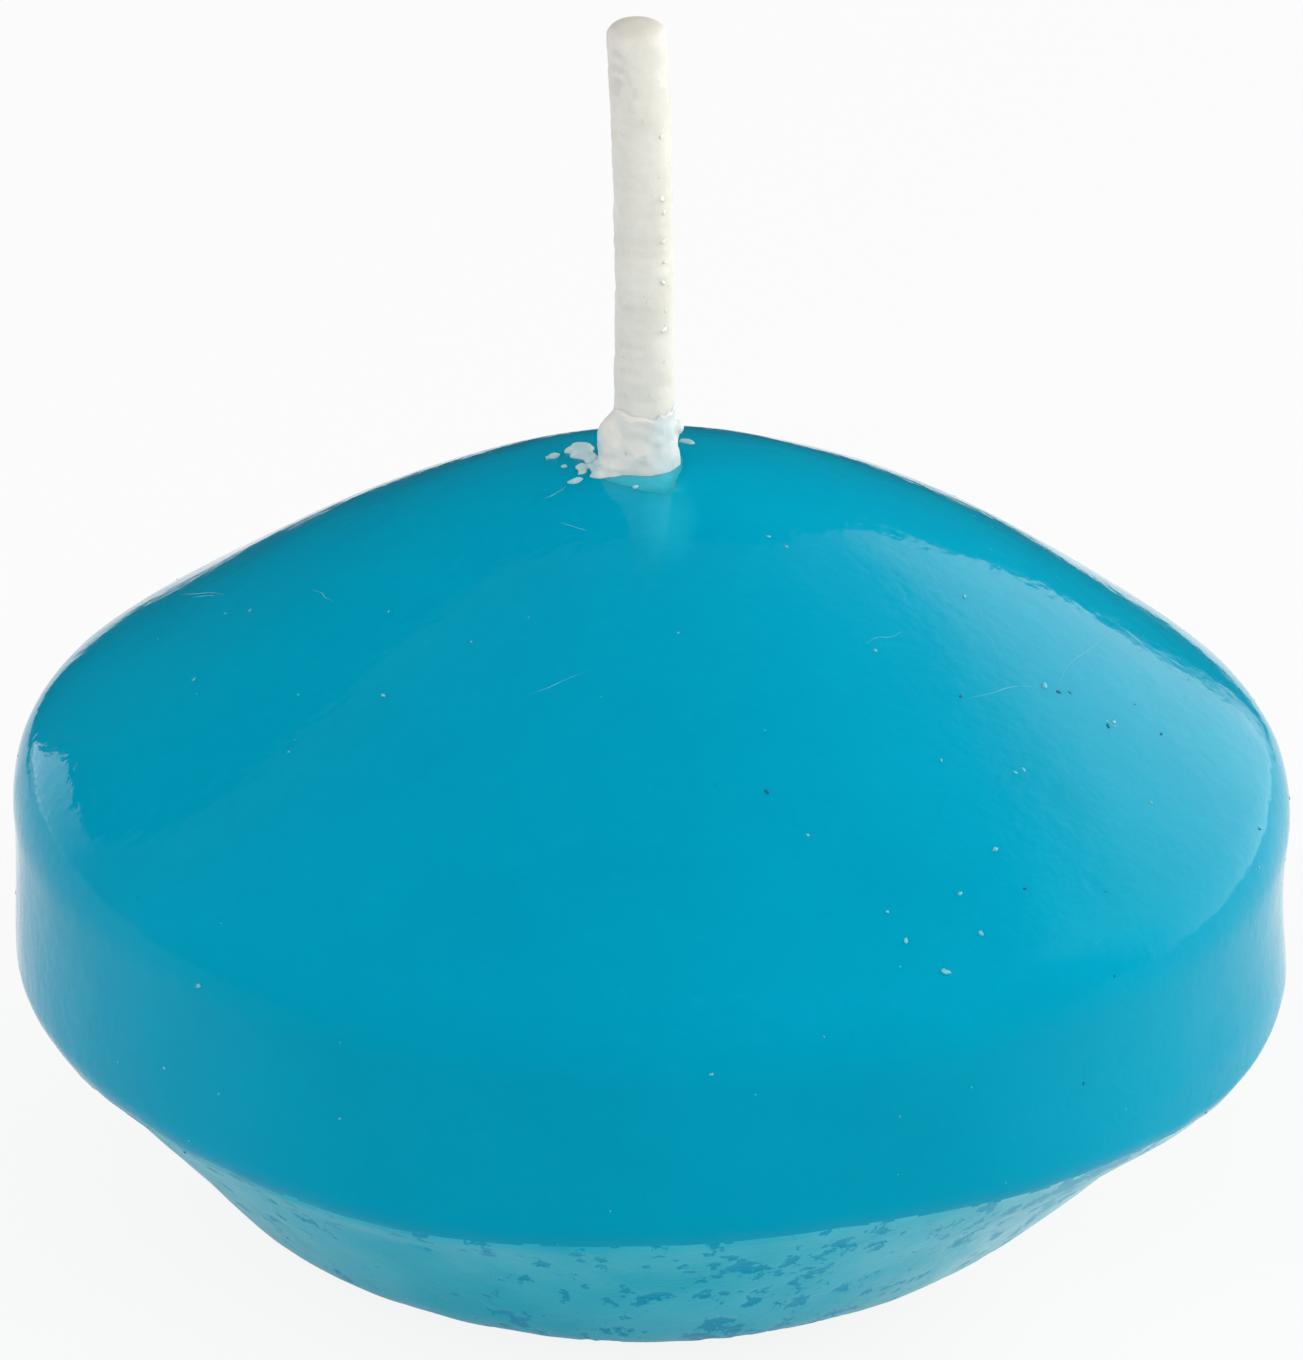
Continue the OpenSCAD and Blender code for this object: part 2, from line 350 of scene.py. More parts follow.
def wax_surface():
    """Points of the outer surface, ring by ring, and for each of them its share of underside, of
    blots and of painted sheen, and its place on the surface as if unrolled."""
    rows = wax_rows()
    angle = np.linspace(0, 2 * math.pi, AROUND, endpoint=False)
    r, z, nr, nz = (rows[:, k][:, None] for k in range(4))
    # The rings round the bore are centred on it, and further out on the candle's axis
    shift = WICK_X * (1 - smooth(r, BORE_R, CENTRED_R))
    x, y = shift + r * np.cos(angle), r * np.sin(angle)
    crown = (r < CROWN_R) & (z > SHOULDER_Z)
    z = np.where(crown, dome_z(x, np.minimum(np.abs(y), CROWN_R + 0.5)), z) + 0 * x
    points = np.stack([x, y, z], axis=-1)
    normals = np.stack([nr * np.cos(angle), nr * np.sin(angle), nz + 0 * angle], axis=-1)

    along = np.concatenate([[0], np.cumsum(np.hypot(*np.diff(rows[:, :2], axis=0).T))])[:, None]
    lip_row = np.argmax(rows[:, 3] < 0)
    lip_at = along[lip_row, 0] + LIP_ROUND * abs(UNDER) * 0.55
    degrees = np.degrees(angle)[None, :]

    calm, still = (along[-1, 0] - before for before in FLAT_CALM)
    free = smooth(along, *BORE_CALM) * (1 - smooth(along, calm, still))
    out = -SUNK
    for (height, size), seed in ((BROAD_RIPPLE, 3), (FINE_RIPPLE, 11)):
        out = out + height * ripple(points, size, seed)
    for at, wide, height, tall, amount in UNEVEN:
        out = out + amount * np.exp(-(degrees_apart(degrees, at) / wide) ** 2 - ((z - height) / tall) ** 2)

    waver, size = LIP_WAVER
    under = smooth(along - lip_at + waver * ripple(points, size, 31), *UNDER_START)
    # Blots where the wax is smooth and wet-looking, and the matt wax between them a little proud
    drawn = np.stack([DRAWN_R * np.cos(angle) + 0 * z, DRAWN_R * np.sin(angle) + 0 * z,
                      DRAWN_ALONG * along + 0 * z], axis=-1)
    blots = ripple(drawn, BLOT_SIZE, 41, 2) + 0.5 * ripple(drawn, CLUSTER_SIZE, 43, 1)
    out = out + under * (0.02 * ripple(drawn, 1.3, 47) - PIT_DEPTH * smooth(blots, *PIT_START))

    near_lip = np.exp(-((along - lip_at) / LIP_WAVE_REACH) ** 2)
    around = np.stack([np.cos(angle), np.sin(angle), 0 * angle], -1) * BODY_R
    height, size = LIP_RIPPLE
    lift = height * ripple(around, size, 57)[None, :]
    for at, wide, amount in LIP_WAVES:
        lift = lift + amount * np.exp(-(degrees_apart(degrees, at) / wide) ** 2)
    points = points + normals * (out * free)[..., None]
    points[..., 2] += lift * near_lip

    # Nothing stands outside the widest size or under the base
    reach = np.hypot(points[..., 0], points[..., 1])
    points[..., :2] *= np.minimum(1, WIDEST_R / np.maximum(reach, 1))[..., None]
    points[..., 2] = np.maximum(points[..., 2], 0)
    # Painted sheen: the share of paler colour that stands for the sheen towards the underside's ends
    painted_sheen = sum(share * np.exp(-(degrees_apart(degrees, at) / wide) ** 2) for at, wide, share in PAINTED_SHEEN_PLACES)
    return points, under, blots, painted_sheen + 0 * z, drawn


def wax_body(outer, under, blots, painted_sheen, drawn):
    """The wax with its bore, its recess and its pocket for the neck, as one closed mesh."""
    angle = np.linspace(0, 2 * math.pi, AROUND, endpoint=False)
    bore_top = outer[0, :, 2].mean()
    # Rings of the flat, the recess and the bore: radius, height and share of the wick's shift
    inner = [(8.4, 0, 0.25), (7.6, 0, 0.5), (6.9, 0, 0.75), (RECESS_R + RECESS_EDGE, 0, 1),
             (RECESS_R + RECESS_EDGE / 4, RECESS_EDGE / 4, 1), (RECESS_R, RECESS_EDGE, 1),
             (RECESS_R, RECESS_TOP, 1), (4.8, RECESS_TOP, 1), (3.4, RECESS_TOP, 1),
             (NECK_FOOT_R, RECESS_TOP, 1),
             (NECK_FOOT_R, NECK_FOOT_TOP, 1), (POCKET_R, NECK_FOOT_TOP, 1), (POCKET_R, POCKET_TOP, 1),
             (BORE_R, POCKET_TOP, 1), (BORE_R, bore_top - 1.5, 1)]
    rings = [np.stack([share * WICK_X + r * np.cos(angle), r * np.sin(angle), 0 * angle + z], -1)
             for r, z, share in inner]
    points = np.concatenate([outer.reshape(-1, 3), np.concatenate(rings)])
    count = len(outer) + len(rings)
    made = mesh_object("wax_body_skin", points, ring_faces(count, AROUND, True), sharp_angle=48)
    for name, values in (("blots", blots), ("painted_sheen", painted_sheen)):
        write_values(made, name, np.concatenate([values.ravel(), np.zeros(len(rings) * AROUND)]))
    spread = np.concatenate([drawn.reshape(-1, 3), np.concatenate(rings)]).astype(np.float32)
    made.data.attributes.new("drawn", "FLOAT_VECTOR", "POINT").data.foreach_set("vector", spread.ravel())
    # The first material is for the glossy side, and the second for the matt underside
    share = np.concatenate([under.ravel(), np.ones(len(rings) * AROUND)])
    corners = np.empty(len(made.data.polygons) * 4, int)
    made.data.polygons.foreach_get("vertices", corners)
    matt = share[corners.reshape(-1, 4)].mean(axis=1) > 0.5
    made.data.materials.append(glossy_wax())
    made.data.materials.append(matt_wax())
    made.data.polygons.foreach_set("material_index", matt.astype(np.int32))
    return made


# Small marks on the wax

# Specks of pale wax and dark grains that the photograph shows: middle in plan, and size
PALE_SPECKS = [
    (13.1, -6.0, 0.26), (15.5, -5.8, 0.16), (12.0, -10.7, 0.14), (12.3, -10.4, 0.12), (16.7, -8.8, 0.14),
    (11.3, -14.0, 0.20), (9.6, -18.6, 0.26), (10.8, -17.0, 0.16), (8.3, -18.1, 0.16), (10.1, -16.0, 0.14),
    (7.7, -17.4, 0.10), (7.3, -8.0, 0.12), (9.5, -11.5, 0.12), (10.4, -3.3, 0.14), (3.7, -4.1, 0.12),
    (4.3, -4.4, 0.12), (-15.7, -4.3, 0.12), (-12.2, -10.4, 0.08), (-14.9, -16.4, 0.16), (-6.2, -8.4, 0.07),
]
# Painted shadow: the dark grains beside the pale chip near 13.4, -5.7 stand for its shadow. The rest are dark
# grains in the wax
DARK_GRAINS_AND_CHIP_SHADOW = [
    (13.6, -5.9, 0.16), (14.0, -5.6, 0.09), (15.3, -6.2, 0.17), (17.2, -4.8, 0.14), (16.3, -4.0, 0.08),
    (3.7, -14.4, 0.14), (2.0, -14.4, 0.06), (10.2, -8.5, 0.12), (12.3, -14.9, 0.11), (20.6, -6.1, 0.11),
]
# Scratches: start, end and width of the burr that each has raised
SCRATCHES = [
    ((-4.0, -2.0), (-3.1, -1.4), 0.05), ((-3.4, -3.6), (-2.4, -4.3), 0.05),
    ((-16.7, 4.6), (-14.9, 1.0), 0.05), ((-16.2, 3.2), (-15.3, 1.6), 0.04),
    ((-11.8, -2.5), (-10.9, -3.8), 0.06), ((13.5, -5.5), (15.5, -0.3), 0.04),
    ((10.3, -8.6), (12.9, -6.2), 0.04), ((15.0, -6.0), (15.7, -5.9), 0.08),
    ((-4.2, -11.1), (-2.3, -10.4), 0.04), ((6.9, -7.9), (8.3, -6.6), 0.05),
]
# Points round a grain and rings of them, and steps along a burr
GRAIN_AROUND, GRAIN_RINGS, BURR_STEPS = 10, 5, 24
# Finer specks: how many, the rings between which they lie, and their smallest size and spread
SCATTERED, SCATTER_RINGS, SCATTER_SIZE, SCATTER_SPREAD = 110, (20, 96), 0.04, 0.09


def wax_normals(outer):
    down = np.gradient(outer, axis=0)
    round_ = (np.roll(outer, -1, 1) - np.roll(outer, 1, 1)) / 2
    n = np.cross(down, round_)
    return n / np.linalg.norm(n, axis=-1, keepdims=True)


def on_dome(outer, normals, x, y):
    """The place of the dome above a point in plan, and its normal."""
    top = np.where(outer[..., 2] > SHOULDER_Z - 1, np.hypot(outer[..., 0] - x, outer[..., 1] - y), 99)
    i, j = np.unravel_index(np.argmin(top), top.shape)
    n = normals[i, j]
    flat = np.array([x, y, 0]) - outer[i, j] * [1, 1, 0]
    return outer[i, j] + flat - [0, 0, (n @ flat) / n[2]], n


def grain(place, normal, size, thick, seed):
    """A ragged grain, sunk a little into the wax."""
    side = np.cross(normal, [0.3, 0.2, 1.0])
    side /= np.linalg.norm(side)
    other = np.cross(normal, side)
    t = np.linspace(0, math.pi, GRAIN_RINGS + 2)[1:-1, None]
    a = np.linspace(0, 2 * math.pi, GRAIN_AROUND, endpoint=False)
    ball = np.stack([np.sin(t) * np.cos(a), np.sin(t) * np.sin(a), np.cos(t) + 0 * a], -1).reshape(-1, 3)
    ball = np.vstack([[0, 0, 1], ball, [0, 0, -1]])
    ball = ball * (1 + 0.45 * ripple(ball * 1.7, 1.0, seed))[:, None] * [1.3, 0.8, thick]
    turn = seed * 2.4
    u = math.cos(turn) * side + math.sin(turn) * other
    v = np.cross(normal, u)
    points = place + size / 2 * (ball[:, :1] * u + ball[:, 1:2] * v + (ball[:, 2:] + 0.2 * thick) * normal)
    reach = np.hypot(points[:, 0], points[:, 1])
    points[:, :2] *= np.minimum(1, WIDEST_R / reach)[:, None]
    turns = [(j, (j + 1) % GRAIN_AROUND) for j in range(GRAIN_AROUND)]
    low, end = len(points) - 1 - GRAIN_AROUND, len(points) - 1
    faces = [(0, 1 + j, 1 + k) for j, k in turns]
    faces += [tuple(1 + i for i in face) for face in ring_faces(GRAIN_RINGS, GRAIN_AROUND, False)]
    faces += [(end, low + k, low + j) for j, k in turns]
    return points, faces


def burr(outer, normals, start, end, width, seed):
    """The raised edge of a scratch: a thin ridge that rises and dies away along its length."""
    along = np.array([end[0] - start[0], end[1] - start[1], 0])
    along = along / np.linalg.norm(along)

    def waver(place):
        return float(noise(np.array([place, seed, 0.5]), seed))

    rows = []
    for t in np.linspace(0, 1, BURR_STEPS):
        x, y = np.array(start) + (np.array(end) - np.array(start)) * t
        p, n = on_dome(outer, normals, x, y)
        side = np.cross(n, along)
        p = p + side * 0.12 * waver(t * 3.0)
        w = width * (0.15 + math.sin(math.pi * t)) * (0.7 + 0.3 * waver(t * 9.0))
        rows += [p - side * w / 2 - n * 0.02, p + n * w * 0.35, p + side * w / 2 - n * 0.02, p - n * 0.04]
    faces = ring_faces(BURR_STEPS, 4, False)
    last = 4 * (BURR_STEPS - 1)
    return np.array(rows), faces + [(0, 1, 2, 3), (last + 3, last + 2, last + 1, last)]


def gathered(name, parts):
    """One object from several pairs of points and faces."""
    points, faces, first = [], [], 0
    for p, f in parts:
        faces += [tuple(i + first for i in face) for face in f]
        points.append(p)
        first += len(p)
    return mesh_object(name, np.concatenate(points), faces)


def marks(outer):
    """Specks, grains and scratches, and finer specks scattered over the whole glossy side."""
    normals = wax_normals(outer)

    def grains(listed, thick, seed):
        return [grain(*on_dome(outer, normals, x, y), size, thick, seed + k)
                for k, (x, y, size) in enumerate(listed)]

    pale = grains(PALE_SPECKS, 0.5, 11)
    # Dark grains, with the painted shadow beside a pale chip among them
    dark_and_chip_shadow = grains(DARK_GRAINS_AND_CHIP_SHADOW, 0.35, 51)
    pale += [burr(outer, normals, *scratch, 5 + k) for k, scratch in enumerate(SCRATCHES)]
    random = np.random.default_rng(7)
    for k in range(SCATTERED):
        i, j = random.integers(*SCATTER_RINGS), random.integers(AROUND)
        size = SCATTER_SIZE + SCATTER_SPREAD * random.random() ** 3
        (pale if k % 6 else dark_and_chip_shadow).append(grain(outer[i, j], normals[i, j], size, 0.5, 101 + k))
    return gathered("wax_specks", pale), gathered("wax_grains_and_chip_shadow", dark_and_chip_shadow)


# Wick

# Points round the wick, and rows of its hidden part, of its shown part and of its rounded end
WICK_AROUND, HIDDEN_ROWS, SHOWN_ROWS, CAP_ROWS = 96, 8, 190, 10
# Height over the crown at which the finer rows begin, and two between which the coat of wax does
SHOWN_FROM, COAT_FROM = -1.5, (0.4, 1.5)
# The last rings of the cut end: share of its radius, and rise towards its middle
CUT_RINGS = [(0.8, 0.02), (0.6, 0.035), (0.4, 0.045), (0.2, 0.05), (0.04, 0.05)]
# The braid under the coat: length of a turn, number of strands each way, and their height
BRAID_TURN, BRAID_STRANDS, BRAID_HEIGHT = 0.95, 3, 0.010
# Beads down the right side: degrees round and degrees wide, length of each, and height
BEADS_AT, BEADS_WIDE, BEAD_LENGTH, BEAD_HEIGHT = -48, 16, 0.45, 0.035
# How far the coat lies under the wick's radius, on average and at least
COAT_SUNK, COAT_LEAST = 0.045, 0.006


def wick_line(s):
    """Points and directions of the wick's middle, at lengths s above the crown."""
    turned = np.maximum(s - WICK_STRAIGHT, 0) / WICK_BEND_ROUND
    x = WICK_X - WICK_BEND_ROUND * (1 - np.cos(turned))
    z = BODY_H + np.minimum(s, WICK_STRAIGHT) + WICK_BEND_ROUND * np.sin(turned)
    return np.stack([x, 0 * x, z], -1), np.stack([-np.sin(turned), 0 * x, np.cos(turned)], -1)


def wick():
    """The wick from the sustainer to its cut end, with its coat of wax, as one closed mesh."""
    angle = np.linspace(0, 2 * math.pi, WICK_AROUND, endpoint=False)
    cap_start = WICK_OUT - WICK_TOP_ROUND
    hidden = np.linspace(WICK_BOTTOM - BODY_H, SHOWN_FROM, HIDDEN_ROWS, endpoint=False)
    shown = np.linspace(SHOWN_FROM, cap_start, SHOWN_ROWS, endpoint=False)
    # The cut end: the wax coat rounds its edge, and its middle is nearly flat
    cap_turn = np.linspace(0, math.pi / 2, CAP_ROWS)
    cap = cap_start + (WICK_TOP_ROUND - 0.1) * np.sin(cap_turn)
    cap_r = WICK_R - 0.01 - WICK_TOP_ROUND * (1 - np.cos(cap_turn))
    cut_share, cut_rise = np.array(CUT_RINGS).T
    s = np.concatenate([hidden, shown, cap, cap[-1] + cut_rise])
    radius = np.concatenate([np.full(len(hidden) + len(shown), WICK_R), cap_r, cap_r[-1] * cut_share])
    middle, along = wick_line(s)
    side = np.stack([along[:, 2], 0 * s, -along[:, 0]], -1)
    depth = np.tile([0.0, 1.0, 0.0], (len(s), 1))
    spoke = side[:, None] * np.cos(angle)[:, None] + depth[:, None] * np.sin(angle)[:, None]
    points = middle[:, None] + spoke * radius[:, None, None]
    # Strands of the braid under the coat, and the coat's own lumps
    coat = smooth(s, *COAT_FROM)[:, None]
    turn = 2 * math.pi * s[:, None] / BRAID_TURN
    strands = np.cos(turn + BRAID_STRANDS * angle) * np.cos(turn - BRAID_STRANDS * angle)
    lumps = 0.030 * ripple(points, 0.80, 71, 3)
    bumps = BRAID_HEIGHT * strands + lumps + 0.020 * ripple(points, 3.1, 77, 1)
    # Wax that ran down the right side has set in beads
    beads = np.exp(-(degrees_apart(np.degrees(angle), BEADS_AT) / BEADS_WIDE) ** 2)
    beads = beads * smooth(s, 1.0, 3.0)[:, None]
    level = 0 * points[..., 0]
    heights = np.stack([level, points[..., 2] / BEAD_LENGTH, 0.3 + level], -1)
    bumps = bumps + BEAD_HEIGHT * beads * smooth(noise(heights, 73), -0.1, 0.5)
    bumps = np.minimum(bumps - COAT_SUNK, -COAT_LEAST)
    points = points + spoke * (bumps * coat * np.minimum(1, radius / 0.6)[:, None])[..., None]
    # The cut is a little uneven
    top = smooth(s, cap_start, WICK_OUT)[:, None]
    slant = 0.08 + 0.06 * points[:, :, 0] - 0.06 * WICK_X + 0.03 * ripple(points, 0.9, 83)
    points[..., 2] -= top * np.maximum(slant, 0)
    faces = [face[::-1] for face in ring_faces(len(s), WICK_AROUND, False)]
    last = (len(s) - 1) * WICK_AROUND
    faces += [tuple(range(WICK_AROUND))[::-1], tuple(range(last, last + WICK_AROUND))]
    made = mesh_object("wick_braid", points.reshape(-1, 3), faces, sharp_angle=60)
    # Painted shade: the cut end is made greyer against the light that falls on its top, and a grey stain
    # shows a little through the coat below its left side
    left = np.exp(-(degrees_apart(np.degrees(angle), 232) / 32) ** 2 - ((s[:, None] - 14.3) / 1.1) ** 2)
    cut = smooth(s, cap_start - 0.05, cap_start + 0.35)[:, None]
    cut = np.minimum(cut + 0.8 * left * smooth(ripple(points, 0.35, 89), -0.1, 0.5), 1)
    write_values(made, "cut", cut)
    return made


# Painted highlights: near-white drops set on the wick, most down its right side where it shows glints: length
# above the crown, degrees round, and size
PAINTED_GLINT_DROPS = [
    (12.1, -48, 0.13), (9.9, -52, 0.16), (9.4, -47, 0.10), (8.4, -50, 0.15), (7.6, -46, 0.11),
    (6.9, -52, 0.13), (5.9, -47, 0.10), (5.2, -50, 0.15), (11.2, 118, 0.12), (6.4, 150, 0.14),
]
# How far the middle of a drop lies inside the wick's radius
DROP_SUNK = 0.025


def wick_painted_glints():
    # Near-white drops that stand as painted highlights on the wick
    parts = []
    for k, (s, turn, size) in enumerate(PAINTED_GLINT_DROPS):
        (place,), (along,) = wick_line(np.array([s]))
        side = np.array([along[2], 0, -along[0]])
        a = math.radians(turn)
        spoke = side * math.cos(a) + np.array([0, 1, 0]) * math.sin(a)
        parts.append(grain(place + spoke * (WICK_R - DROP_SUNK), spoke, 1.2 * size, 0.6, 301 + k))
    return gathered("wick_painted_glints", parts)


# White wax on the crown

# Outlines in plan of the seal's foot, of the two flakes at its left and of the thin smear
FOOT = [(-2.50, 0.15), (-2.38, -0.55), (-2.42, -0.95), (-2.05, -1.16), (-1.35, -1.20), (-0.80, -1.14),
        (0.05, -0.95), (0.45, -0.3), (0.45, 0.6), (-0.6, 1.15), (-1.6, 0.75), (-1.95, 0.42), (-2.2, 0.30)]
FLAKE = [(-3.30, 1.72), (-3.12, 2.25), (-2.86, 2.42), (-2.45, 2.30), (-2.28, 1.95), (-2.22, 1.40),
         (-2.05, 0.80), (-2.0, 0.2), (-2.45, 0.1), (-2.66, 0.55), (-3.05, 1.15)]
SMALL_FLAKE = [(-2.86, 0.55), (-2.62, 0.50), (-2.50, -0.2), (-2.56, -0.62), (-2.72, -0.55), (-2.80, 0.0)]
SMEAR = [(-2.0, -1.1), (-1.80, -1.42), (-1.36, -1.80), (-0.95, -1.98), (-0.62, -2.26), (-0.25, -2.46),
         (0.05, -2.66), (0.32, -2.56), (0.50, -2.2), (0.66, -1.7), (0.74, -0.6), (0.80, 0.3), (0.66, 1.2),
         (0.2, 1.1), (-0.6, 0.6)]
# Rounded lumps of the seal: middle in plan and above the crown, and half sizes
SEAL_LUMPS = [
    ((-1.52, -0.05, 0.92), (0.66, 0.95, 0.98)),
    ((-1.40, -0.45, 0.30), (0.78, 0.66, 0.52)),
    ((-0.06, -0.42, 0.42), (0.62, 0.58, 0.66)),
    ((-0.95, -0.78, 0.30), (0.70, 0.40, 0.50)),
    ((0.58, 0.05, 1.32), (0.22, 0.28, 0.22)),
    ((-0.70, 0.75, 0.50), (0.90, 0.60, 0.90)),
]
# Boxes and steps of the grids on which the seal, the smear and the crumbs are sampled
SEAL_BOX, SEAL_STEP = ((-3.6, -1.7, 27.0), (1.2, 2.8, 30.6)), 0.045
SMEAR_BOX, SMEAR_STEP = ((-2.3, -3.2, 27.1), (1.2, 1.5, 28.2)), 0.03
CRUMB_BELOW, CRUMB_ABOVE, CRUMB_STEP = 0.35, 0.4, 0.022
# How deep a plate reaches before it is cut off, and how deep any white wax lies in the crown
PLATE_DEPTH, LAID_DEPTH = 0.3, 0.06
# Height of the collar that climbs the wick, its thickness there, and what it gains at the foot
COLLAR_TOP, COLLAR_THIN, COLLAR_GAIN = 2.05, 0.02, 0.16


def plate(x, y, h, outline, thick, seed, places):
    """A thin ragged plate of wax lying on the crown, h being the height above it."""
    edge = plan_distance(x, y, outline) + 0.11 * ripple(places, 0.36, seed, 3)
    top = h - thick * (0.75 + 0.25 * ripple(places, 0.45, seed + 5)) * smooth(-edge, -0.02, 0.22)
    return np.maximum(np.maximum(edge, top), -PLATE_DEPTH - h)


def white_wax(low, high, step, field):
    """Points and faces of white wax in a box, from a field of the place and its height above the crown."""
    places = sampled(low, high, step)
    x, y = places[..., 0], places[..., 1]
    h = places[..., 2] - dome_z(x, y)
    values = np.maximum(field(places, x, y, h), -(h + LAID_DEPTH))
    # Slightly blurred, so that two sheets of the surface don't meet in one cell
    for axis in range(3):
        values = (np.roll(values, 1, axis) + 2 * values + np.roll(values, -1, axis)) / 4
    return without_strays(*surface_net(values, np.array(low), step))


def seal_field(places, x, y, h):
    spoke = np.hypot(x - WICK_X, y)
    ragged = 0.30 * ripple(places, 0.55, 91, 3)
    taper = COLLAR_GAIN * (1 - smooth(h + ragged, 0.3, 2.0))
    collar = spoke - (WICK_R + COLLAR_THIN + taper + 0.05 * ripple(places, 0.9, 97))
    whole = np.maximum(collar, h - COLLAR_TOP - ragged)
    for (mx, my, mh), (ax, ay, ah) in SEAL_LUMPS:
        reach = np.sqrt(((x - mx) / ax) ** 2 + ((y - my) / ay) ** 2 + ((h - mh) / ah) ** 2)
        whole = joined(whole, (reach - 1) * min(ax, ay, ah), 0.12)
    whole = joined(whole, plate(x, y, h, FOOT, 0.24, 101, places), 0.10)
    whole = np.minimum(whole, plate(x, y, h, FLAKE, 0.24, 107, places))
    whole = np.minimum(whole, plate(x, y, h, SMALL_FLAKE, 0.12, 113, places))
    return whole + 0.045 * ripple(places, 0.55, 119, 3)


def wick_seal():
    return mesh_object("wick_seal_wax", *white_wax(*SEAL_BOX, SEAL_STEP, seal_field))


def smear():
    def field(places, x, y, h):
        # The uneven crown lies a little below its mean outline there
        h = h + SUNK * smooth(np.hypot(x - WICK_X, y), 1.3, 3.0)
        edge = plan_distance(x, y, SMEAR) + 0.05 * ripple(places, 0.6, 131)
        thick = 0.09 * smooth(-edge, -0.05, 0.7) * (0.8 + 0.2 * ripple(places, 0.45, 136))
        return np.maximum(np.maximum(edge, h - thick), -PLATE_DEPTH - h)

    return mesh_object("wick_seal_smear", *white_wax(*SMEAR_BOX, SMEAR_STEP, field))


# Each crumb: middle in plan, length, width, turn in degrees and thickness
CRUMBS = [
    (-3.66, 1.50, 0.52, 0.42, 25, 0.18),
    (-3.28, 0.30, 0.22, 0.26, 60, 0.16),
    (-2.88, -1.08, 0.60, 0.30, 18, 0.14),
    (-0.87, -1.98, 0.16, 0.40, -25, 0.14),
    (0.90, 2.40, 0.50, 0.60, -20, 0.14),
]
# Outline of a crumb, as shares of its length and width
RAGGED = [(-0.5, -0.1), (-0.36, 0.34), (0.02, 0.5), (0.3, 0.36), (0.5, 0.04), (0.2, -0.3), (-0.12, -0.5)]


def crumbs():
    parts = []
    for k, (mx, my, length, width, turn, thick) in enumerate(CRUMBS):
        c, s = math.cos(math.radians(turn)), math.sin(math.radians(turn))
        outline = [(mx + c * a * length - s * b * width, my + s * a * length + c * b * width)
                   for a, b in RAGGED]
        reach = max(length, width) * 0.75
        z = float(dome_z(mx, my))

        def field(places, x, y, h, outline=outline, k=k, thick=thick):
            return plate(x, y, h, outline, thick, 151 + 7 * k, places)

        low, high = (mx - reach, my - reach, z - CRUMB_BELOW), (mx + reach, my + reach, z + CRUMB_ABOVE)
        parts.append(white_wax(low, high, CRUMB_STEP, field))
    return gathered("wax_crumbs", parts)


# Materials

GLOSS_DARK, GLOSS_PALE = (0.0, 0.287, 0.445, 1), (0.0, 0.312, 0.475, 1)
MATT_BLUE, MATT_PALE, WET = (0.015, 0.41, 0.555, 1), (0.05, 0.46, 0.60, 1), (0.0, 0.31, 0.50, 1)
# Pale blue painted on the underside's ends as sheen
PAINTED_SHEEN_BLUE = (0.45, 0.69, 0.75, 1)
GLINT_BLUE, MELTED_BLUE = (0.02, 0.40, 0.56, 1), (0.01, 0.40, 0.55, 1)
# The second grey is painted shade on the wick's cut end, and the colour of its stain below
SPOT_GREY, CAP_SHADE_AND_STAIN_GREY = (0.42, 0.43, 0.38, 1), (0.57, 0.55, 0.50, 1)
THIN_BLUE, THIN_PALE = (0.0, 0.335, 0.495, 1), (0.035, 0.40, 0.55, 1)
STEEL_DARK, STEEL_PALE = (0.47, 0.48, 0.50, 1), (0.62, 0.63, 0.64, 1)
WAX_IOR, WAX_TINT = 1.44, (0.10, 0.9, 0.65, 1)
# The part of the wax that melted again in front of the wick: middle in plan, and how it spreads
# across and back
MELTED_X, MELTED_Y, MELTED_ACROSS, MELTED_BACK = 0.35, -3.6, 1.0, 0.16


def feed(tree, node, inputs):
    """Gives each input its value, or links it from a socket."""
    for socket, value in inputs.items():
        if isinstance(value, bpy.types.NodeSocket):
            tree.links.new(value, node.inputs[socket])
        else:
            node.inputs[socket].default_value = value


def add(tree, kind, inputs=None, **settings):
    """A new shader node, with its settings and its inputs."""
    made = tree.nodes.new("ShaderNode" + kind)
    for name, value in settings.items():
        setattr(made, name, value)
    feed(tree, made, inputs or {})
    return made


def new_material(name):
    """A material, its node tree, its main shader and the place on the object in millimetres."""
    made = bpy.data.materials.new(name)
    made.use_nodes = True
    tree = made.node_tree
    shader = next(n for n in tree.nodes if n.type == "BSDF_PRINCIPLED")
    places = add(tree, "VectorMath", {0: add(tree, "TexCoord").outputs["Object"], 1: (1000,) * 3},
                 operation="MULTIPLY").outputs[0]
    return made, tree, shader, places


def noise_node(tree, places, scale, detail=3.0, rough=0.55):
    return add(tree, "TexNoise", {"Vector": places, "Scale": scale, "Detail": detail,
                                  "Roughness": rough}).outputs[0]


def ramp(tree, value, low, high, out_low=0.0, out_high=1.0):
    return add(tree, "MapRange", {0: value, 1: low, 2: high, 3: out_low, 4: out_high}).outputs[0]


def times(tree, a, b):
    return add(tree, "Math", {0: a, 1: b}, operation="MULTIPLY").outputs[0]


def plus(tree, a, b):
    return add(tree, "Math", {0: a, 1: b}, operation="ADD").outputs[0]


def blend(tree, share, a, b):
    """Colour a where the share is 0, and colour b where it is 1."""
    return add(tree, "Mix", {0: share, 6: a, 7: b}, data_type="RGBA").outputs[2]


def bump(tree, height, depth, normal=None):
    """A normal with bumps of a depth in millimetres, on top of another normal if one is given."""
    inputs = {"Height": height, "Distance": depth * MM, "Strength": 1.0}
    if normal:
        inputs["Normal"] = normal
    return add(tree, "Bump", inputs).outputs[0]


def glowing(weight, radius, scale):
    """Inputs of a shader for light that passes into the wax."""
    return {"IOR": WAX_IOR, "Subsurface Weight": weight, "Subsurface Radius": radius,
            "Subsurface Scale": scale * MM}


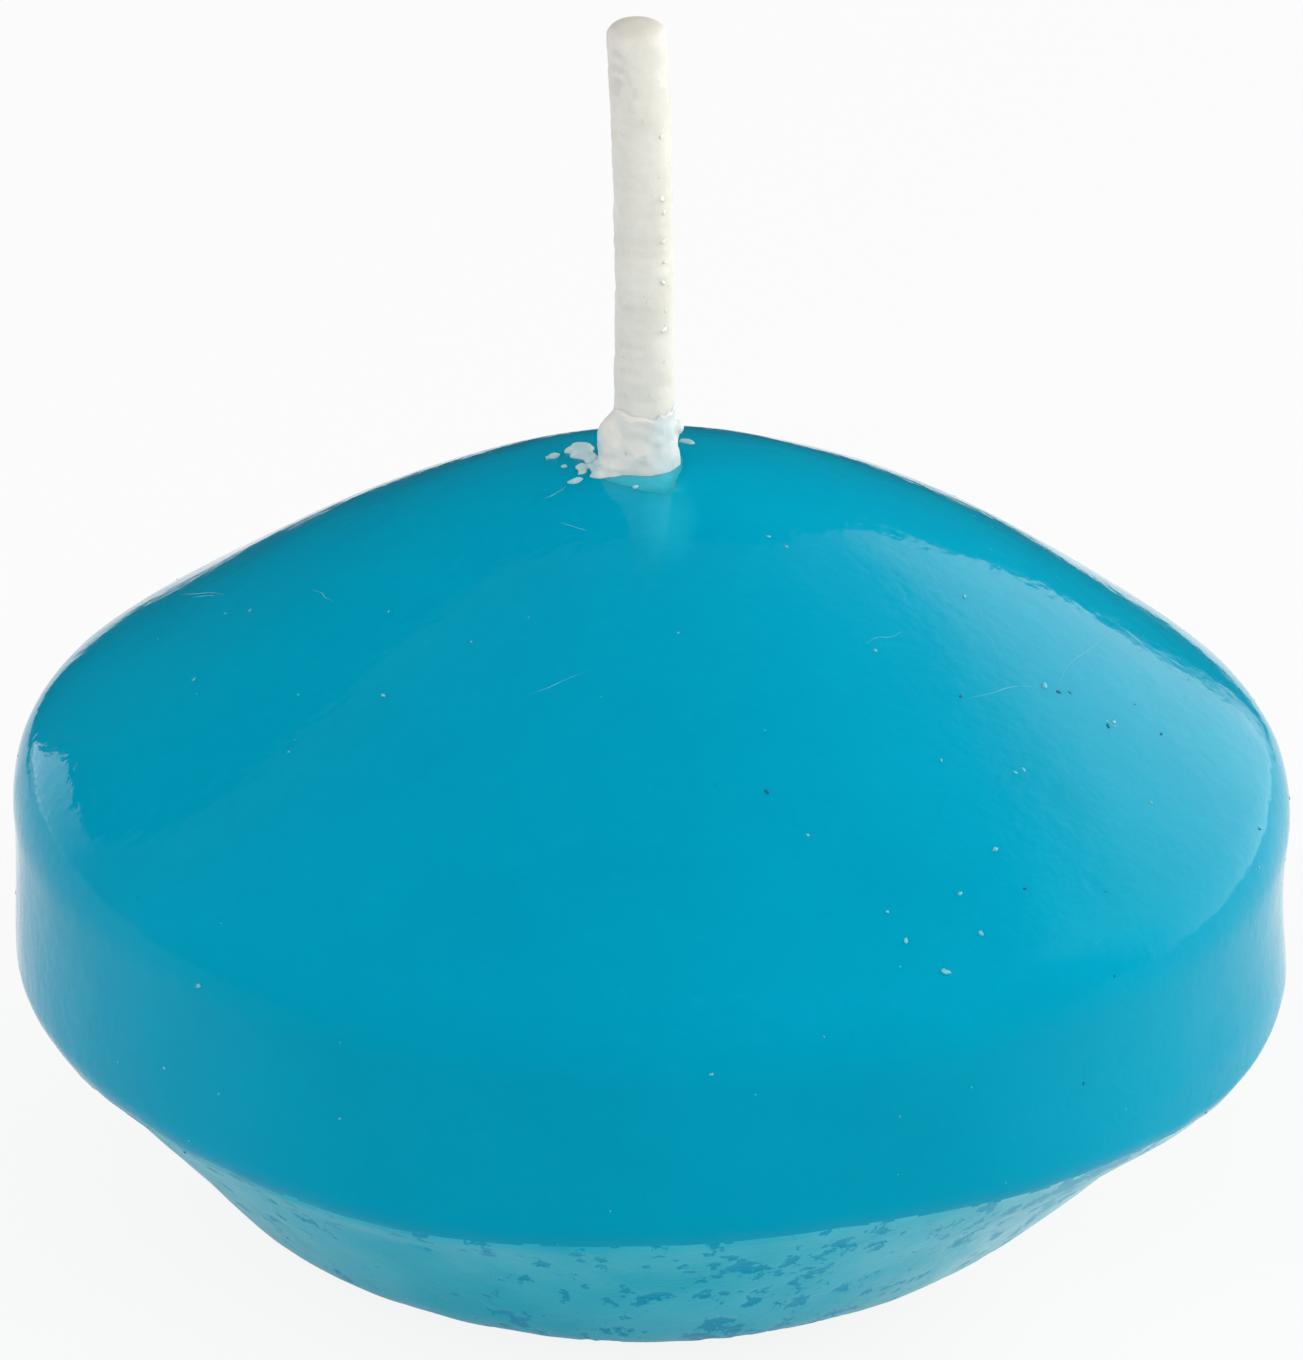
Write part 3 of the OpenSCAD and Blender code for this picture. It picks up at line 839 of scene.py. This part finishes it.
def blue_glow(level):
    """Inputs that the glossy and the matt blue wax share, but for the level of the gloss."""
    return {"Specular IOR Level": level, "Specular Tint": WAX_TINT, **glowing(0.5, (0.2, 0.7, 1.0), 1.6)}


def glossy_wax():
    """The moulded side and dome: smooth blue wax with slow waves and a little cloud in it."""
    made, tree, shader, places = new_material("blue wax")
    cloudy = noise_node(tree, places, 0.11, 3)
    fine = noise_node(tree, places, 1.7, 4)
    colour = blend(tree, ramp(tree, cloudy, 0.3, 0.7), GLOSS_DARK, GLOSS_PALE)
    colour = blend(tree, ramp(tree, fine, 0.55, 0.8, 0, 0.08), colour, GLINT_BLUE)
    # Wax melted again in front of the wick is clearer and paler
    split = add(tree, "SeparateXYZ", {0: places}).outputs
    off, back = plus(tree, split[0], -MELTED_X), plus(tree, split[1], -MELTED_Y)
    away = plus(tree, times(tree, times(tree, off, off), MELTED_ACROSS),
                times(tree, times(tree, back, back), MELTED_BACK))
    ragged = times(tree, noise_node(tree, places, 0.7, 2), 0.8)
    melted = ramp(tree, plus(tree, away, ragged), 1.5, 0.4, 0, 0.55)
    waves = bump(tree, noise_node(tree, places, 1.5, 2, 0.5), 0.022)
    feed(tree, shader, {
        "Base Color": blend(tree, melted, colour, MELTED_BLUE),
        "Roughness": ramp(tree, noise_node(tree, places, 0.8, 4), 0.3, 0.7, 0.04, 0.09),
        "Normal": bump(tree, noise_node(tree, places, 5.0, 3), 0.0008, waves),
        **blue_glow(0.10),
    })
    return made


def matt_wax():
    """The underside: pale, painted paler still towards its ends as sheen, with darker blots where the wax is
    smooth.
    """
    made, tree, shader, places = new_material("blue wax underside")
    blots = add(tree, "Attribute", attribute_name="blots").outputs["Fac"]
    patches = noise_node(tree, places, 0.22, 2)
    spread = add(tree, "Attribute", attribute_name="drawn").outputs["Vector"]
    edge = times(tree, plus(tree, noise_node(tree, spread, 3.2, 4, 0.65), -0.5), 3.0)
    wet = ramp(tree, plus(tree, times(tree, blots, 0.75), edge), 0.30, 0.40)
    pale = blend(tree, ramp(tree, patches, 0.35, 0.65), MATT_BLUE, MATT_PALE)
    # Painted sheen: paler colour towards the underside's ends, over the matt wax and the blots
    painted_sheen = add(tree, "Attribute", attribute_name="painted_sheen").outputs["Fac"]
    cloudy = ramp(tree, noise_node(tree, spread, 0.9, 4), 0.3, 0.6, 0.5, 1.0)
    pale = blend(tree, times(tree, painted_sheen, cloudy), pale, PAINTED_SHEEN_BLUE)
    smooth_wax = blend(tree, times(tree, painted_sheen, 0.4), WET, PAINTED_SHEEN_BLUE)
    flat = add(tree, "VectorMath", {0: places, 1: (1, 1, 0.6)}, operation="MULTIPLY").outputs[0]
    feed(tree, shader, {
        "Base Color": blend(tree, wet, pale, smooth_wax),
        "Roughness": 0.35,
        "Normal": bump(tree, noise_node(tree, flat, 2.6, 4, 0.6), 0.04),
        **blue_glow(0.012),
    })
    return made


def plain_wax(name, colour, roughness, level=0.3):
    """Wax of the small marks."""
    made, tree, shader, places = new_material(name)
    darker = tuple(0.8 * c for c in colour[:3]) + (1,)
    tone = ramp(tree, noise_node(tree, places, 6, 2), 0.35, 0.65)
    feed(tree, shader, {"Base Color": blend(tree, tone, darker, colour), "Roughness": roughness,
                        "IOR": WAX_IOR, "Specular IOR Level": level})
    return made


def white_wax_material(name, colour, darker, weight, thin=()):
    """White wax: satin, a little uneven in colour, with light passing into it.

    Each part of thin holds a place across, one further out and the colour from there on.
    """
    made, tree, shader, places = new_material(name)
    tone = noise_node(tree, places, 0.9, 4)
    spots = ramp(tree, noise_node(tree, places, 3.3, 3, 0.6), 0.66, 0.74, 0, 0.5)
    base = blend(tree, ramp(tree, tone, 0.35, 0.7), darker, colour)
    base = blend(tree, spots, base, SPOT_GREY)
    across = add(tree, "SeparateXYZ", {0: places}).outputs[0]
    for start, end, tint in thin:
        base = blend(tree, ramp(tree, across, start, end), base, tint)
    # Painted shade on the wick's cut end, and a real stain below it, read from the wick's attribute
    cut = add(tree, "Attribute", attribute_name="cut").outputs["Fac"]
    coarse = bump(tree, noise_node(tree, places, 1.9, 3), 0.03)
    feed(tree, shader, {
        "Base Color": blend(tree, times(tree, cut, 0.75), base, CAP_SHADE_AND_STAIN_GREY),
        "Roughness": ramp(tree, tone, 0.3, 0.7, 0.42, 0.56),
        "Normal": bump(tree, noise_node(tree, places, 9, 3), 0.004, coarse),
        **glowing(weight, (0.9, 0.9, 0.9), 0.5),
    })
    return made


def thin_wax():
    """White wax so thin that the blue shows through it, paler near the wick."""
    made, tree, shader, places = new_material("thin white wax")
    about = add(tree, "VectorMath", {0: places, 1: (-WICK_X, 0, 0)}, operation="ADD").outputs[0]
    flat = add(tree, "VectorMath", {0: about, 1: (1, 0.66, 0)}, operation="MULTIPLY").outputs[0]
    reach = add(tree, "VectorMath", {0: flat}, operation="LENGTH").outputs["Value"]
    ragged = plus(tree, reach, times(tree, noise_node(tree, places, 1.6), 0.8))
    depth = ramp(tree, ragged, 1.5, 2.3, 1.0, 0.0)
    feed(tree, shader, {
        "Base Color": blend(tree, depth, THIN_BLUE, THIN_PALE),
        "Roughness": 0.35,
        "Normal": bump(tree, noise_node(tree, places, 3, 3), 0.02),
        "Specular IOR Level": 0.15,
        **glowing(0.5, (0.3, 0.7, 1.0), 0.8),
    })
    return made


def tinned_steel():
    made, tree, shader, places = new_material("tinned steel")
    tone = ramp(tree, noise_node(tree, places, 1.2, 4), 0.3, 0.7)
    feed(tree, shader, {
        "Base Color": blend(tree, tone, STEEL_DARK, STEEL_PALE),
        "Roughness": ramp(tree, noise_node(tree, places, 4, 3), 0.3, 0.7, 0.25, 0.42),
        "Normal": bump(tree, noise_node(tree, places, 6, 3), 0.006),
        "Metallic": 1.0,
    })
    return made


# Floor, card, lights and camera

# Half the floor's width, its grey under the lamps, and how much of it is white of its own
FLOOR_HALF, FLOOR_GREY, FLOOR_GLOW = 4000, (0.7, 0.7, 0.7, 1), 0.88
# Lights are this far from a point at this height on the candle's axis
LIGHT_DISTANCE, LIGHT_TARGET_Z = 500.0, 18.0
KEY_COLOUR, RIGHT_COLOUR = (1, 0.99, 0.91), (1, 1, 0.94)
KEY_FADES = ((1, 0, 0.0, 0.25, 0.35), (1, 0, 0.95, 0.55, 0.45), (0.4, 1, 1.10, 0.92, 0.08))
LEFT_FADES = ((1, 0, 1.0, 0.45, 0.0),)
# Lights that no gloss reflects: name, azimuth, elevation, width, height, radiance, fades, colour
FILL_LIGHTS = [
    ("overhead", 0, 90, 700, 700, 0.04),
    ("front", 10, 42, 600, 380, 0.9),
    ("front_low", 0, 12, 500, 250, 0.4),
    ("front_left", -60, 38, 400, 380, 1.6),
    ("left_low", -75, 15, 300, 250, 0.85),
    ("right_high", 60, 40, 300, 300, 1.05),
    ("front_right", 65, 20, 400, 380, 1.7, (), RIGHT_COLOUR),
]
WORLD_STRENGTH = 0.38


def floor():
    """A floor that is white to the camera, keeps the shadow and can be seen through from below."""
    size = FLOOR_HALF
    made = mesh_object("floor", [(-size, -size, 0), (size, -size, 0), (size, size, 0), (-size, size, 0)],
                       [(0, 1, 2, 3)])
    material = bpy.data.materials.new("floor")
    material.use_nodes = True
    tree = material.node_tree
    tree.nodes.clear()
    rays = add(tree, "LightPath").outputs
    seen = plus(tree, plus(tree, rays["Is Camera Ray"], rays["Is Glossy Ray"]), rays["Is Transmission Ray"])
    lit = add(tree, "BsdfDiffuse", {"Color": FLOOR_GREY})
    white = add(tree, "Emission", {"Color": (1, 1, 1, 1), "Strength": 1.0})
    top = add(tree, "MixShader", {0: times(tree, seen, FLOOR_GLOW), 1: lit.outputs[0], 2: white.outputs[0]})
    back = add(tree, "NewGeometry").outputs["Backfacing"]
    whole = add(tree, "MixShader", {0: back, 1: top.outputs[0], 2: add(tree, "BsdfTransparent").outputs[0]})
    add(tree, "OutputMaterial", {"Surface": whole.outputs[0]})
    made.data.materials.append(material)


def dark_card():
    """A black card behind the candle, outside the view, which only its gloss reflects."""
    back, foot, top = 150, 5, 240
    made = mesh_object("dark_card", [(-104, back, foot), (72, back, foot), (72, back, top), (-260, back, top),
                                     (-260, back, 147), (-140, back, 75), (-104, 95, 0.5), (72, 95, 0.5)],
                       [(0, 1, 2, 3, 4, 5), (6, 7, 1, 0)])
    material, tree, shader, _ = new_material("dark card")
    feed(tree, shader, {"Base Color": (0.01, 0.01, 0.01, 1), "Roughness": 1.0})
    made.data.materials.append(material)
    made.visible_camera = made.visible_diffuse = made.visible_shadow = False


def soft_box(name, azimuth, elevation, width, height, radiance, fades=(), colour=(1, 1, 1), glossy=True):
    """A flat light aimed at the candle. Azimuth 0 is at the camera, and 90 at its right.

    Each fade holds how much the share of the width and that of the height count, two sums of them,
    and the part of the strength that is left at the first sum. It grows to the whole at the second.
    """
    a, e = math.radians(azimuth), math.radians(elevation)
    away = np.array([math.sin(a) * math.cos(e), -math.cos(a) * math.cos(e), math.sin(e)])
    data = bpy.data.lights.new(name, "AREA")
    data.shape = "RECTANGLE"
    data.size, data.size_y = width * MM, height * MM
    data.energy = radiance * math.pi * data.size * data.size_y
    data.color = colour
    if fades:
        data.use_nodes = True
        tree = data.node_tree
        across = add(tree, "SeparateXYZ", {0: add(tree, "NewGeometry").outputs["Parametric"]}).outputs
        share = 1.0
        for wide, high, start, end, left in fades:
            total = plus(tree, times(tree, across[0], wide), times(tree, across[1], high))
            share = times(tree, share, ramp(tree, total, start, end, left, 1.0))
        shine = next(n for n in tree.nodes if n.type == "EMISSION")
        tree.links.new(share, shine.inputs["Strength"])
    made = bpy.data.objects.new(name, data)
    bpy.context.scene.collection.objects.link(made)
    place = np.array([0, 0, LIGHT_TARGET_Z]) + away * LIGHT_DISTANCE
    x = np.array([math.cos(a), math.sin(a), 0])
    turned = Matrix(np.stack([x, np.cross(away, x), away], 1).tolist()).to_4x4()
    made.matrix_world = Matrix.Translation(place * MM) @ turned
    made.visible_camera = False
    made.visible_glossy = glossy


def world():
    """Even grey light all round."""
    made = bpy.data.worlds.new("studio")
    made.use_nodes = True
    tree = made.node_tree
    tree.nodes.clear()
    sky = add(tree, "Background", {"Color": (1, 1, 1, 1), "Strength": WORLD_STRENGTH})
    add(tree, "OutputWorld", {"Surface": sky.outputs[0]})
    bpy.context.scene.world = made


def camera():
    """The photograph's view: 24 degrees above the horizon, from 300 mm away."""
    elevation, distance, middle_z = math.radians(24.0), 300.0, 19.79
    aside, roll = -0.159, math.radians(1.1)
    data = bpy.data.cameras.new("camera")
    data.sensor_width, data.lens = 36.0, 230.1
    made = bpy.data.objects.new("camera", data)
    bpy.context.scene.collection.objects.link(made)
    place = Matrix.Translation((aside * MM, -distance * math.cos(elevation) * MM,
                                (middle_z + distance * math.sin(elevation)) * MM))
    made.matrix_world = (place @ Matrix.Rotation(math.pi / 2 - elevation, 4, "X")
                         @ Matrix.Rotation(roll, 4, "Z"))
    bpy.context.scene.camera = made


# The pieces

def dress(piece, material, node=None):
    """Gives a piece its material and says where it belongs, and which node it replaces."""
    if material:
        piece.data.materials.append(material)
    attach(piece, "root")
    if node:
        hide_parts(node)


white = white_wax_material("white wax", (0.75, 0.735, 0.69, 1), (0.66, 0.66, 0.62, 1), 0.5,
                           [(-0.45, -0.1, (0.63, 0.68, 0.68, 1)), (-1.9, -2.2, (0.44, 0.61, 0.64, 1))])
coated = white_wax_material("waxed cotton", (0.765, 0.745, 0.69, 1), (0.71, 0.685, 0.62, 1), 0.4)
surface = wax_surface()
dress(wax_body(*surface), None, "wax_body")
specks, grains = marks(surface[0])
dress(specks, plain_wax("pale blue wax", (0.16, 0.55, 0.66, 1), 0.4))
# Dark grains, and the painted shadow of a pale chip
dress(grains, plain_wax("dark blue wax and painted chip shadow", (0.0, 0.13, 0.25, 1), 0.5))
dress(wick(), coated, "wick")
# Near-white drops on the wick are painted highlights
dress(wick_painted_glints(), plain_wax("near-white painted glint drops", (0.95, 0.95, 0.94, 1), 0.2, 0.5))
dress(wick_seal(), white, "wick_seal")
dress(smear(), thin_wax())
dress(crumbs(), plain_wax("white wax crumbs", (0.36, 0.60, 0.68, 1), 0.45), "wax_flakes")
steel = tinned_steel()
for s in frame["nodes"]["wick_sustainer"].material_slots:
    s.material = steel

floor()
dark_card()
soft_box("key", 124, 22, 675, 577, 2.8, KEY_FADES, KEY_COLOUR)
soft_box("left", -134, 6, 380, 260, 1.8, LEFT_FADES)
for light in FILL_LIGHTS:
    soft_box(*light, glossy=False)
world()
camera()
bpy.context.scene.view_settings.view_transform = "Standard"
